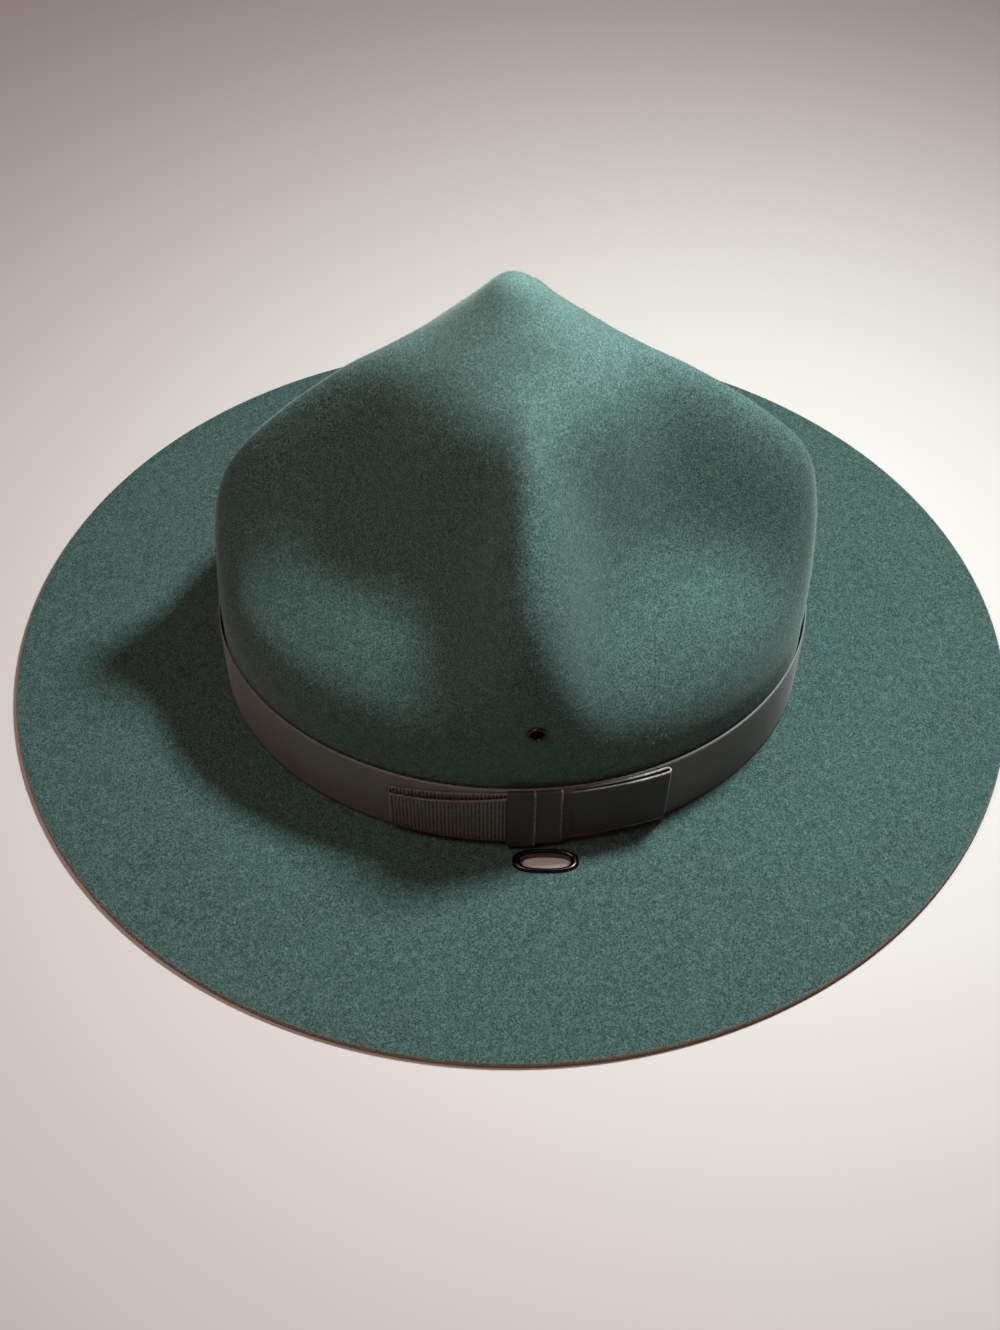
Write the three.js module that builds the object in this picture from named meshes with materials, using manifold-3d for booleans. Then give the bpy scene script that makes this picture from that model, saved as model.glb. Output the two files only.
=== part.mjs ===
// Campaign hat of fur felt: a crown with four dents and a central peak, a flat brim, a ribbon
// band with a flat bow, two vent eyelets and two lined strap slots.
// Millimetres, +Z up. The wearer faces -Y, so +X is the wearer's left. The origin is on the
// surface that the brim rests on, at the brim's middle.

import * as THREE from "three";
import { mergeVertices } from "three/addons/utils/BufferGeometryUtils.js";
import Module from "manifold-3d";

// Felt
const brimHalfLength = 183;
const brimHalfBreadth = 164.2;
const brimThickness = 2.6;
const brimEdgeRound = 0.7;
const crownHalfLength = 104.9;
const crownHalfBreadth = 84.3;
const crownWall = 2.4;
const holeLip = 1.5;

// The four ridges between the dents: how far each one reaches to both sides of its crest, and
// how far to the rear of the brim's middle the crests of the two side ridges run
const frontRidgeReach = 14;
const rearRidgeReach = 18;
const sideRidgeReach = 18.5;
const sideRidgeRear = 5;

// The crown's surface from the foot to the peak, along the front ridge, along the rear ridge
// and down through a dent: "out" is a share of the foot's oval, "up" a height above the brim
const crownSections = [
  { name: "foot", frontOut: 1, frontUp: 0, rearOut: 1, rearUp: 0, dentOut: 1, dentUp: 0 },
  { name: "band", frontOut: 0.985, frontUp: 30, rearOut: 0.988, rearUp: 30, dentOut: 0.988, dentUp: 30 },
  { name: "wall", frontOut: 0.972, frontUp: 58, rearOut: 0.982, rearUp: 58, dentOut: 0.975, dentUp: 46 },
  { name: "lip", frontOut: 0.925, frontUp: 84, rearOut: 0.955, rearUp: 84, dentOut: 0.92, dentUp: 58.5 },
  { name: "shoulder", frontOut: 0.82, frontUp: 104, rearOut: 0.88, rearUp: 105, dentOut: 0.79, dentUp: 70 },
  { name: "floor", frontOut: 0.67, frontUp: 121, rearOut: 0.7, rearUp: 123, dentOut: 0.63, dentUp: 80 },
  { name: "floor", frontOut: 0.5, frontUp: 136, rearOut: 0.51, rearUp: 137, dentOut: 0.49, dentUp: 93 },
  { name: "rise", frontOut: 0.36, frontUp: 144.3, rearOut: 0.36, rearUp: 145, dentOut: 0.385, dentUp: 120 },
  { name: "cone", frontOut: 0.24, frontUp: 151, rearOut: 0.24, rearUp: 150.4, dentOut: 0.26, dentUp: 142 },
  { name: "cone", frontOut: 0.13, frontUp: 161.7, rearOut: 0.13, rearUp: 160.8, dentOut: 0.14, dentUp: 156 },
  { name: "tip", frontOut: 0.055, frontUp: 170, rearOut: 0.055, rearUp: 169, dentOut: 0.055, dentUp: 169.3 },
  { name: "peak", frontOut: 0, frontUp: 172, rearOut: 0, rearUp: 172, dentOut: 0, dentUp: 172 },
];

// Ribbon
const gap = 0.3;
const bandFoot = 0.4;
const bandTop = 32;
const bandThickness = 0.9;
const bowThickness = 1.5;
const knotThickness = 0.8;

// Bow: "rear" is the distance along the hat from the brim's middle, "bottom" and "top" are
// heights above the brim, "stand" is how far the piece stands off the band
const frontLoopSections = [
  { rear: -40.5, bottom: 4.8, top: 25.5, standBottom: 0.3, standTop: 0.3 },
  { rear: -20, bottom: 3.8, top: 28.6, standBottom: 0.3, standTop: 0.3 },
  { rear: 9, bottom: 3.2, top: 31, standBottom: 0.3, standTop: 0.3 },
];
const rearLoopSections = [
  { rear: 9.4, bottom: 4, top: 31, standBottom: 0.3, standTop: 0.3 },
  { rear: 22, bottom: 4.4, top: 31.6, standBottom: 0.3, standTop: 0.4 },
  { rear: 36, bottom: 4.4, top: 32.4, standBottom: 0.5, standTop: 1.3 },
  { rear: 51, bottom: 2.6, top: 32.6, standBottom: 1.2, standTop: 3 },
];
const knotFront = -1.6;
const knotRear = 20.2;
const knotBottom = 1.9;
const knotTop = 33;

// Vent eyelet
const eyeletRear = 7.6;
const eyeletHeight = 61;
const eyeletHoleRadius = 2.1;
const eyeletBarrelRadius = 2.5;
const eyeletFlangeRadius = 3.2;
const eyeletFlange = 0.6;

// Strap slot grommet
const slotRear = 11.5;
const slotSide = 92.7;
const slotOuterHalfLength = 11.3;
const slotOuterHalfBreadth = 4.6;
const slotHoleHalfLength = 8.45;
const slotHoleHalfBreadth = 2.85;
const slotSquareness = 2.7;
const slotRimHeight = 1.15;
const slotBarrelWall = 0.5;

// How finely the faces are cut
const columns = 72;
const rowsPerSection = 2;
const brimTopShares = [0.3, 0.65];
const ringSides = 16;
const slotSides = 28;

const manifoldLibrary = await Module();
manifoldLibrary.setup();

// Curves along the ridges and the dents. A mirrored last point rounds the peak.
function sectionCurve(out, up) {
  const points = crownSections.map((section) => new THREE.Vector2(section[out], section[up]));
  const beforePeak = points[points.length - 2];
  points.push(new THREE.Vector2(-beforePeak.x, beforePeak.y));
  return new THREE.SplineCurve(points);
}

const frontCurve = sectionCurve("frontOut", "frontUp");
const rearCurve = sectionCurve("rearOut", "rearUp");
const dentCurve = sectionCurve("dentOut", "dentUp");

function alongCurve(curve, level) {
  const peakShare = (crownSections.length - 1) / crownSections.length;
  return curve.getPoint(level * peakShare);
}

// 0 at the front, 1 at the rear, one half at the sides
function rearShare(angle) {
  return THREE.MathUtils.smoothstep(Math.sin(angle), -1, 1);
}

// 0 on a ridge's crest, 1 far out to its side
function fallFromCrest(distance, reach) {
  return 1 - Math.exp(-((distance / reach) ** 2));
}

// 1 in the middle of a dent, 0 on each of the four crests. Takes the place that the felt would
// have without the dents.
function dentShare(x, y, toRear) {
  const endReach = THREE.MathUtils.lerp(frontRidgeReach, rearRidgeReach, toRear);
  return fallFromCrest(x, endReach) * fallFromCrest(y - sideRidgeRear, sideRidgeReach);
}

// A point of the crown's outside at an angle from +X, level 0 at the foot and 1 at the peak
function crownPoint(angle, level) {
  const across = crownHalfBreadth * Math.cos(angle);
  const along = crownHalfLength * Math.sin(angle);
  const toRear = rearShare(angle);
  const ridge = alongCurve(frontCurve, level).lerp(alongCurve(rearCurve, level), toRear);
  const share = dentShare(across * ridge.x, along * ridge.x, toRear);
  const place = ridge.lerp(alongCurve(dentCurve, level), share);
  return new THREE.Vector3(across * place.x, along * place.x, brimThickness + place.y);
}

function crownNormal(angle, level) {
  const step = 0.002;
  const low = Math.max(level - step, 0);
  const high = Math.min(level + step, 0.995);
  const round = crownPoint(angle + step, level).sub(crownPoint(angle - step, level));
  const rise = crownPoint(angle, high).sub(crownPoint(angle, low));
  return round.cross(rise).normalize();
}

// The crown's outside at a height above the brim, moved out along its normal by stand
function onCrown(angle, height, stand) {
  let low = 0;
  let high = 0.4;
  for (let step = 0; step < 30; step += 1) {
    const middle = (low + high) / 2;
    if (crownPoint(angle, middle).z - brimThickness < height) {
      low = middle;
    } else {
      high = middle;
    }
  }
  return crownPoint(angle, low).addScaledVector(crownNormal(angle, low), stand);
}

function angleAt(rear) {
  return Math.asin(rear / crownHalfLength);
}

// Rings of points joined into one closed skin
function ovalRing(halfBreadth, halfLength, height) {
  const ring = [];
  for (let column = 0; column < columns; column += 1) {
    const angle = (column / columns) * Math.PI * 2;
    ring.push(new THREE.Vector3(halfBreadth * Math.cos(angle), halfLength * Math.sin(angle), height));
  }
  return ring;
}

function crownRing(level, depth) {
  const ring = [];
  for (let column = 0; column < columns; column += 1) {
    const angle = (column / columns) * Math.PI * 2;
    ring.push(crownPoint(angle, level).addScaledVector(crownNormal(angle, level), -depth));
  }
  return ring;
}

function meshData(points, faces) {
  const geometry = new THREE.BufferGeometry();
  geometry.setAttribute("position", new THREE.Float32BufferAttribute(points.flatMap((p) => p.toArray()), 3));
  geometry.setIndex(faces.flat());
  return geometry;
}

// Rings run round anticlockwise as seen from the side that the skin faces first
function skinFromPoleToPole(firstPole, rings, lastPole) {
  const count = rings[0].length;
  const points = [firstPole, ...rings.flat(), lastPole];
  const faces = [];
  const at = (ring, column) => 1 + ring * count + (column % count);
  for (let column = 0; column < count; column += 1) {
    faces.push([0, at(0, column), at(0, column + 1)]);
    for (let ring = 0; ring + 1 < rings.length; ring += 1) {
      faces.push([at(ring, column), at(ring + 1, column), at(ring + 1, column + 1)]);
      faces.push([at(ring, column), at(ring + 1, column + 1), at(ring, column + 1)]);
    }
    faces.push([at(rings.length - 1, column), points.length - 1, at(rings.length - 1, column + 1)]);
  }
  return meshData(points, faces);
}

// A ring-shaped skin: sections[i] is the closed section at step i, and the last meets the first
function skinRoundRing(sections) {
  const count = sections[0].length;
  const points = sections.flat();
  const faces = [];
  const at = (section, corner) => (section % sections.length) * count + (corner % count);
  for (let section = 0; section < sections.length; section += 1) {
    for (let corner = 0; corner < count; corner += 1) {
      faces.push([at(section, corner), at(section + 1, corner), at(section + 1, corner + 1)]);
      faces.push([at(section, corner), at(section + 1, corner + 1), at(section, corner + 1)]);
    }
  }
  return meshData(points, faces);
}

// A bar-shaped skin with closed ends. Sections are convex or triangulate by their own outline.
function skinAlongBar(sections, outline) {
  const count = sections[0].length;
  const points = sections.flat();
  const faces = [];
  const at = (section, corner) => section * count + (corner % count);
  for (let section = 0; section + 1 < sections.length; section += 1) {
    for (let corner = 0; corner < count; corner += 1) {
      faces.push([at(section, corner), at(section + 1, corner), at(section + 1, corner + 1)]);
      faces.push([at(section, corner), at(section + 1, corner + 1), at(section, corner + 1)]);
    }
  }
  const last = sections.length - 1;
  for (const [a, b, c] of THREE.ShapeUtils.triangulateShape(outline, [])) {
    faces.push([at(0, a), at(0, b), at(0, c)]);
    faces.push([at(last, a), at(last, c), at(last, b)]);
  }
  return meshData(points, faces);
}

// Booleans
function asSolid(geometry) {
  const bare = geometry.clone();
  bare.deleteAttribute("normal");
  bare.deleteAttribute("uv");
  const merged = mergeVertices(bare, 1e-4);
  const mesh = new manifoldLibrary.Mesh({
    numProp: 3,
    vertProperties: new Float32Array(merged.attributes.position.array),
    triVerts: new Uint32Array(merged.index.array),
  });
  return new manifoldLibrary.Manifold(mesh);
}

function asGeometry(solid) {
  const mesh = solid.getMesh();
  const geometry = new THREE.BufferGeometry();
  geometry.setAttribute("position", new THREE.BufferAttribute(mesh.vertProperties, 3));
  geometry.setIndex(new THREE.BufferAttribute(mesh.triVerts, 1));
  return geometry;
}

// Felt body: one skin from the peak down the crown, over the brim and up inside to the peak
function feltShell() {
  const crownRows = (crownSections.length - 1) * rowsPerSection;
  const outside = [];
  for (let row = crownRows - 1; row >= 0; row -= 1) {
    outside.push(crownRing(row / crownRows, 0));
  }
  const brimTop = brimTopShares.map((share) => ovalRing(
    THREE.MathUtils.lerp(crownHalfBreadth, brimHalfBreadth, share),
    THREE.MathUtils.lerp(crownHalfLength, brimHalfLength, share),
    brimThickness,
  ));
  const flatHalfBreadth = brimHalfBreadth - brimEdgeRound;
  const flatHalfLength = brimHalfLength - brimEdgeRound;
  const edge = [
    ovalRing(flatHalfBreadth, flatHalfLength, brimThickness),
    ovalRing(brimHalfBreadth, brimHalfLength, brimThickness - brimEdgeRound),
    ovalRing(brimHalfBreadth, brimHalfLength, brimEdgeRound),
    ovalRing(flatHalfBreadth, flatHalfLength, 0),
  ];
  const underside = brimTop.map((ring) => ring.map((p) => new THREE.Vector3(p.x, p.y, 0))).reverse();
  const holeHalfBreadth = crownHalfBreadth - crownWall;
  const holeHalfLength = crownHalfLength - crownWall;
  const hole = [
    ovalRing(holeHalfBreadth + holeLip, holeHalfLength + holeLip, 0),
    ovalRing(holeHalfBreadth, holeHalfLength, holeLip),
  ];
  const inside = [];
  for (let row = 1; row < crownRows; row += 1) {
    inside.push(crownRing(row / crownRows, crownWall));
  }
  const outerPeak = crownPoint(0, 1);
  const innerPeak = outerPeak.clone();
  innerPeak.z -= crownWall;
  const rings = [...outside, ...brimTop, ...edge, ...underside, ...hole, ...inside];
  return skinFromPoleToPole(outerPeak, rings, innerPeak);
}

// Turns a piece's +Z to the felt's normal at the eyelet on one side of the crown
function placeAtEyelet(geometry, side) {
  const leftAngle = angleAt(eyeletRear);
  const angle = side > 0 ? leftAngle : Math.PI - leftAngle;
  const place = onCrown(angle, eyeletHeight, 0);
  const normal = onCrown(angle, eyeletHeight, 1).sub(place);
  const turn = new THREE.Quaternion().setFromUnitVectors(new THREE.Vector3(0, 0, 1), normal);
  return geometry.applyQuaternion(turn).translate(place.x, place.y, place.z);
}

function eyeletCutter(side) {
  const radius = eyeletBarrelRadius + gap;
  const cutter = new THREE.CylinderGeometry(radius, radius, 8 * crownWall, ringSides);
  return placeAtEyelet(cutter.rotateX(Math.PI / 2), side);
}

// A rounded-oblong outline, from 0 at the grommet's outside to 1 at its hole
function slotOutline(share, side) {
  const halfLength = THREE.MathUtils.lerp(slotOuterHalfLength, slotHoleHalfLength, share);
  const halfBreadth = THREE.MathUtils.lerp(slotOuterHalfBreadth, slotHoleHalfBreadth, share);
  const power = 2 / slotSquareness;
  const outline = [];
  for (let step = 0; step < slotSides; step += 1) {
    const angle = (step / slotSides) * Math.PI * 2;
    const across = Math.sign(Math.cos(angle)) * Math.abs(Math.cos(angle)) ** power;
    const along = Math.sign(Math.sin(angle)) * Math.abs(Math.sin(angle)) ** power;
    outline.push(new THREE.Vector2(side * slotSide + halfBreadth * across, slotRear + halfLength * along));
  }
  return outline;
}

function slotBarrelShare() {
  return 1 - slotBarrelWall / (slotOuterHalfBreadth - slotHoleHalfBreadth);
}

function slotCutShare() {
  return slotBarrelShare() - gap / (slotOuterHalfBreadth - slotHoleHalfBreadth);
}

function slotCutter(side) {
  const shape = new THREE.Shape(slotOutline(slotCutShare(), side));
  const cutter = new THREE.ExtrudeGeometry(shape, { depth: 3 * brimThickness, bevelEnabled: false });
  return cutter.translate(0, 0, -brimThickness);
}

function feltBody() {
  let solid = asSolid(feltShell());
  for (const side of [1, -1]) {
    solid = solid.subtract(asSolid(eyeletCutter(side)));
    solid = solid.subtract(asSolid(slotCutter(side)));
  }
  return asGeometry(solid);
}

// Ribbon band: a thin upright ring that follows the foot of the crown
function hatBand() {
  const heights = [bandFoot, (bandFoot + bandTop) / 2, bandTop];
  const sections = [];
  for (let column = 0; column < columns; column += 1) {
    const angle = (column / columns) * Math.PI * 2;
    const outside = heights.map((height) => onCrown(angle, height, gap + bandThickness));
    const inside = heights.map((height) => onCrown(angle, height, gap)).reverse();
    sections.push([...outside, ...inside]);
  }
  return skinRoundRing(sections);
}

// A ribbon loop of the bow: a thin plate that follows the band
function onBand(rear, height, stand) {
  return onCrown(angleAt(rear), height, gap + bandThickness + stand);
}

function loopSection(section) {
  const { rear, bottom, top, standBottom, standTop } = section;
  return [
    onBand(rear, bottom, standBottom + bowThickness),
    onBand(rear, top, standTop + bowThickness),
    onBand(rear, top, standTop),
    onBand(rear, bottom, standBottom),
  ];
}

function between(a, b, share) {
  const row = {};
  for (const key of Object.keys(a)) {
    row[key] = THREE.MathUtils.lerp(a[key], b[key], share);
  }
  return row;
}

function ribbonLoop(rows, stepsPerRow) {
  const sections = [];
  for (let row = 0; row + 1 < rows.length; row += 1) {
    for (let step = 0; step < stepsPerRow; step += 1) {
      sections.push(loopSection(between(rows[row], rows[row + 1], step / stepsPerRow)));
    }
  }
  sections.push(loopSection(rows[rows.length - 1]));
  const square = [[1, 0], [1, 1], [0, 1], [0, 0]].map(([x, y]) => new THREE.Vector2(x, y));
  return skinAlongBar(sections, square);
}

// The knot: a wrap over both loops whose top and bottom edges turn back to the band
function bowKnot() {
  const outer = gap + bowThickness + gap + knotThickness;
  const inner = outer - knotThickness;
  const profile = [
    { stand: outer, height: knotBottom },
    { stand: outer, height: knotTop },
    { stand: gap, height: knotTop },
    { stand: gap, height: knotTop - knotThickness },
    { stand: inner, height: knotTop - knotThickness },
    { stand: inner, height: knotBottom + knotThickness },
    { stand: gap, height: knotBottom + knotThickness },
    { stand: gap, height: knotBottom },
  ];
  const steps = 6;
  const sections = [];
  for (let step = 0; step <= steps; step += 1) {
    const rear = THREE.MathUtils.lerp(knotFront, knotRear, step / steps);
    sections.push(profile.map((corner) => onBand(rear, corner.height, corner.stand)));
  }
  return skinAlongBar(sections, profile.map((corner) => new THREE.Vector2(corner.stand, corner.height)));
}

// Vent eyelet: a metal barrel through the felt with a flange inside and outside
function ventEyelet(side) {
  const outerFace = gap + eyeletFlange;
  const innerFace = -crownWall - gap - eyeletFlange;
  const profile = [
    [eyeletHoleRadius, innerFace],
    [eyeletFlangeRadius, innerFace],
    [eyeletFlangeRadius, innerFace + eyeletFlange],
    [eyeletBarrelRadius, innerFace + eyeletFlange],
    [eyeletBarrelRadius, gap],
    [eyeletFlangeRadius, gap],
    [(eyeletHoleRadius + eyeletFlangeRadius) / 2, outerFace],
    [eyeletHoleRadius, outerFace - eyeletFlange / 3],
    [eyeletHoleRadius, innerFace],
  ];
  const lathe = new THREE.LatheGeometry(profile.map(([r, z]) => new THREE.Vector2(r, z)), ringSides);
  return placeAtEyelet(lathe.rotateX(Math.PI / 2), side);
}

// Strap slot grommet: a rolled oblong rim on the brim with a barrel down through the slot
function strapSlot(side) {
  const barrel = slotBarrelShare();
  const bottom = gap;
  const profile = [
    { share: 0, height: brimThickness + gap },
    { share: 0.15, height: brimThickness + 0.75 * slotRimHeight },
    { share: 0.45, height: brimThickness + slotRimHeight },
    { share: 0.8, height: brimThickness + 0.8 * slotRimHeight },
    { share: 1, height: brimThickness },
    { share: 1, height: bottom },
    { share: barrel, height: bottom },
    { share: barrel, height: brimThickness + gap },
  ];
  const sections = [];
  for (let step = 0; step < slotSides; step += 1) {
    sections.push(profile.map((corner) => {
      const place = slotOutline(corner.share, side)[step];
      return new THREE.Vector3(place.x, place.y, corner.height);
    }));
  }
  return skinRoundRing(sections);
}

// Materials, coloured as the photo shows them
const felt = new THREE.MeshStandardMaterial({ color: 0x2f4f48, roughness: 0.95, metalness: 0 });
const ribbon = new THREE.MeshStandardMaterial({ color: 0x1b1c1c, roughness: 0.7, metalness: 0 });
const darkMetal = new THREE.MeshStandardMaterial({ color: 0x3a3534, roughness: 0.35, metalness: 1 });

const hat = new THREE.Group();

function addPiece(name, geometry, material) {
  const piece = new THREE.Mesh(geometry, material);
  piece.name = name;
  hat.add(piece);
}

addPiece("felt_body", feltBody(), felt);
addPiece("hat_band", hatBand(), ribbon);
addPiece("bow_front", ribbonLoop(frontLoopSections, 4), ribbon);
addPiece("bow_rear", ribbonLoop(rearLoopSections, 3), ribbon);
addPiece("bow_knot", bowKnot(), ribbon);
for (const [word, side] of [["left", 1], ["right", -1]]) {
  addPiece(`vent_eyelet_${word}`, ventEyelet(side), darkMetal);
  addPiece(`strap_slot_${word}`, strapSlot(side), darkMetal);
}

export default hat;
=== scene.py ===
# %% [markdown]
# # Campaign hat of green fur felt
# This is a wide-brimmed hat with a stiff flat brim and a tall crown that is dented in on four
# sides, so that four ridges climb to one peak. The real hat is steamed over a block out of one
# piece of felt. A black grosgrain ribbon goes round the crown's foot and ends in a flat bow on
# the wearer's left. Small metal eyelets air the crown, and metal-lined slots take a strap.
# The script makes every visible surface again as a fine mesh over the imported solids, in metres,
# with +Z up, the wearer facing -Y and the bow on +X.

import math

import bpy
import numpy as np
from mathutils import Matrix, Vector, noise


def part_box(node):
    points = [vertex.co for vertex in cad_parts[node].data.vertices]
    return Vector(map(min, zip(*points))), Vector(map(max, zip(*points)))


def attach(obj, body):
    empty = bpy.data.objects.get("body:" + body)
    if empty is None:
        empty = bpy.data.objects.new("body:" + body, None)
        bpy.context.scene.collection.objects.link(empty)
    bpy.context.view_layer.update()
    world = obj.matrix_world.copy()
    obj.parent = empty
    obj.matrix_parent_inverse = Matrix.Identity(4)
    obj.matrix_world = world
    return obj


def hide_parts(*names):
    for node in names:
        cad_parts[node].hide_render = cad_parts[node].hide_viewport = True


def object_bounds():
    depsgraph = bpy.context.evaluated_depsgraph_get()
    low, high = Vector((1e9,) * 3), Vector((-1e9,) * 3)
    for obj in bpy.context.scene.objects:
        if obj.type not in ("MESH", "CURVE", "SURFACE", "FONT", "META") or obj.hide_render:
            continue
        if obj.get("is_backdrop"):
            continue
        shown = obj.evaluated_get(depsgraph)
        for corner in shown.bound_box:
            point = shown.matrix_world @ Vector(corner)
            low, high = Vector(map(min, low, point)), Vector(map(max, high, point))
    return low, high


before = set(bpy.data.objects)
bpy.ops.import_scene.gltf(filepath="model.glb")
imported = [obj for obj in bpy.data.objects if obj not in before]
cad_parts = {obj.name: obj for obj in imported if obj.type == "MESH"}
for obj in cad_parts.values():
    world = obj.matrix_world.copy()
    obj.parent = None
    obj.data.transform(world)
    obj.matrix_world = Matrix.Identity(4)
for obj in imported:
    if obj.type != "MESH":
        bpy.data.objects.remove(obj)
cad_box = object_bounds()
MM = 0.001
print("solids:", ", ".join(sorted(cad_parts)))

# %% [markdown]
# ## The crown's form
# A blocked crown has no seams, so it can be one smooth surface. It could be sculpted, or cut
# from a dome with dents pushed in. Here three outlines describe it instead: down the front
# ridge, down the rear ridge and down the middle of a dent. Every other direction is a blend of
# these, and the share of the dent grows with the distance from the ridges' crests. The tables
# are short, so a dent is moved or deepened by one number.

# %% Sizes of the felt
_, felt_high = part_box("felt_body")
brim_half_breadth = felt_high.x
brim_half_length = felt_high.y
peak_height = felt_high.z
brim_thickness = 2.6 * MM
crown_half_breadth = 84.3 * MM
crown_half_length = 104.9 * MM
crown_wall = 2.4 * MM

front_ridge_reach = 14 * MM
rear_ridge_reach = 18 * MM
side_ridge_reach = 18.5 * MM
side_ridge_rear = 5 * MM

# "out" is a share of the foot's oval, "up" a height above the brim in millimetres
crown_sections = [
    {"name": "foot", "front": (1, 0), "rear": (1, 0), "dent": (1, 0)},
    {"name": "band", "front": (0.985, 30), "rear": (0.988, 30), "dent": (0.988, 30)},
    {"name": "wall", "front": (0.972, 58), "rear": (0.982, 58), "dent": (0.975, 46)},
    {"name": "lip", "front": (0.925, 84), "rear": (0.955, 84), "dent": (0.92, 58.5)},
    {"name": "shoulder", "front": (0.82, 104), "rear": (0.88, 105), "dent": (0.79, 70)},
    {"name": "floor", "front": (0.67, 121), "rear": (0.7, 123), "dent": (0.63, 80)},
    {"name": "floor", "front": (0.5, 136), "rear": (0.51, 137), "dent": (0.49, 93)},
    {"name": "rise", "front": (0.36, 144.3), "rear": (0.36, 145), "dent": (0.385, 120)},
    {"name": "cone", "front": (0.24, 151), "rear": (0.24, 150.4), "dent": (0.26, 142)},
    {"name": "cone", "front": (0.13, 161.7), "rear": (0.13, 160.8), "dent": (0.14, 156)},
    {"name": "tip", "front": (0.055, 170), "rear": (0.055, 169), "dent": (0.055, 169.3)},
    {"name": "peak", "front": (0, 172), "rear": (0, 172), "dent": (0, 172)},
]
# The two dents on the bow's side end a little higher under the peak. These rows replace the
# dent's rows of the same number.
bow_side_rows = {
    6: (0.49, 95),
    7: (0.385, 128.5),
    8: (0.26, 148.8),
    9: (0.135, 160.5),
    10: (0.055, 169.8),
}
print(f"brim {2000 * brim_half_length:.0f} x {2000 * brim_half_breadth:.0f} mm")
print(f"peak {1000 * peak_height:.1f} mm high")


# %% Smooth outlines through the table
def outline(column, changed=None):
    """The outline as rows of (out, up), with a mirrored last row that rounds the peak. changed
    holds rows, by number, that differ from the table's."""
    rows = [(changed or {}).get(k, section[column]) for k, section in enumerate(crown_sections)]
    rows.append((-rows[-2][0], rows[-2][1]))
    return np.array(rows, float) * (1, MM)


def along_outline(rows, levels):
    """A smooth curve through the rows at levels from 0, the foot, to 1, the peak."""
    place = np.clip(levels, 0, 1) * (len(rows) - 2)
    first = np.minimum(place.astype(int), len(rows) - 2)
    share = (place - first)[:, None]
    last = len(rows) - 1
    before, here, after, beyond = (rows[np.clip(first + step, 0, last)] for step in (-1, 0, 1, 2))
    slope_here = (after - before) / 2
    slope_after = (beyond - here) / 2
    cubic = 2 * here - 2 * after + slope_here + slope_after
    square = 3 * after - 3 * here - 2 * slope_here - slope_after
    return ((cubic * share + square) * share + slope_here) * share + here


outlines = {column: outline(column) for column in ("front", "rear", "dent")}
outlines["bow_side_dent"] = outline("dent", bow_side_rows)
print("outlines:", {name: len(rows) for name, rows in outlines.items()})


# %% Blend the outlines round the crown
def fall_from_crest(distance, reach):
    """0 on a ridge's crest, 1 far out to its side."""
    return 1 - np.exp(-((distance / reach) ** 2))


def ease(share):
    """0 to 1 with a soft start and end."""
    return share * share * (3 - 2 * share)


def crown_points(angles, levels):
    """The crown's outside for each angle from +X (rows) and each level (columns)."""
    front, rear, dent, bow_side_dent = (
        along_outline(rows, levels)[None] for rows in outlines.values()
    )
    to_rear = ease((np.sin(angles) + 1) / 2)[:, None]
    to_bow = ease((np.cos(angles) + 1) / 2)[:, None, None]
    dent = dent + (bow_side_dent - dent) * to_bow
    across = crown_half_breadth * np.cos(angles)[:, None]
    along = crown_half_length * np.sin(angles)[:, None]
    ridge = front + (rear - front) * to_rear[..., None]
    end_reach = front_ridge_reach + (rear_ridge_reach - front_ridge_reach) * to_rear
    share = fall_from_crest(across * ridge[..., 0], end_reach)
    share = share * fall_from_crest(along * ridge[..., 0] - side_ridge_rear, side_ridge_reach)
    place = ridge + (dent - ridge) * share[..., None]
    return np.stack([across * place[..., 0], along * place[..., 0], brim_thickness + place[..., 1]], 2)


def crown_normals(angles, levels):
    """The directions straight out of the crown at the same angles and levels."""
    step = 0.002
    low, high = np.maximum(levels - step, 0), np.minimum(levels + step, 0.998)
    round_it = crown_points(angles + step, levels) - crown_points(angles - step, levels)
    rise = crown_points(angles, high) - crown_points(angles, low)
    normals = np.cross(round_it, rise)
    return normals / np.linalg.norm(normals, axis=2, keepdims=True)


def on_crown(angles, heights, stands):
    """Points at heights above the brim, moved straight out of the crown by stands. All are lists
    of the same length."""
    levels = np.linspace(0, 0.42, 120)
    points = crown_points(angles, levels)
    normals = crown_normals(angles, levels)
    found = np.empty((len(angles), 3))
    for k, (height, stand) in enumerate(zip(heights, stands)):
        rises = points[k, :, 2] - brim_thickness
        place = [np.interp(height, rises, points[k, :, axis]) for axis in range(3)]
        out = np.array([np.interp(height, rises, normals[k, :, axis]) for axis in range(3)])
        found[k] = np.array(place) + stand * out / np.linalg.norm(out)
    return found


dent_middle = crown_points(np.array([-0.8]), np.array([0.6]))[0, 0]
print("middle of a front dent, in mm:", (dent_middle / MM).round(1))

# %% [markdown]
# ## Small helpers
# Three helpers serve every piece: one turns rows of points into a mesh, one turns a hex colour
# as the eye reads it into the linear numbers that the shaders want, and one adds a node with
# its settings and links, so that a material or a tree of geometry nodes reads as a short list.


# %% Mesh, colour and node helpers
def mesh_object(name, points, faces, smooth=True):
    """A new object at the origin, with its place in its mesh."""
    mesh = bpy.data.meshes.new(name)
    mesh.from_pydata([tuple(point) for point in points], [], [tuple(face) for face in faces])
    mesh.update()
    mesh.polygons.foreach_set("use_smooth", [smooth] * len(mesh.polygons))
    made = bpy.data.objects.new(name, mesh)
    bpy.context.scene.collection.objects.link(made)
    return made


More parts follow.
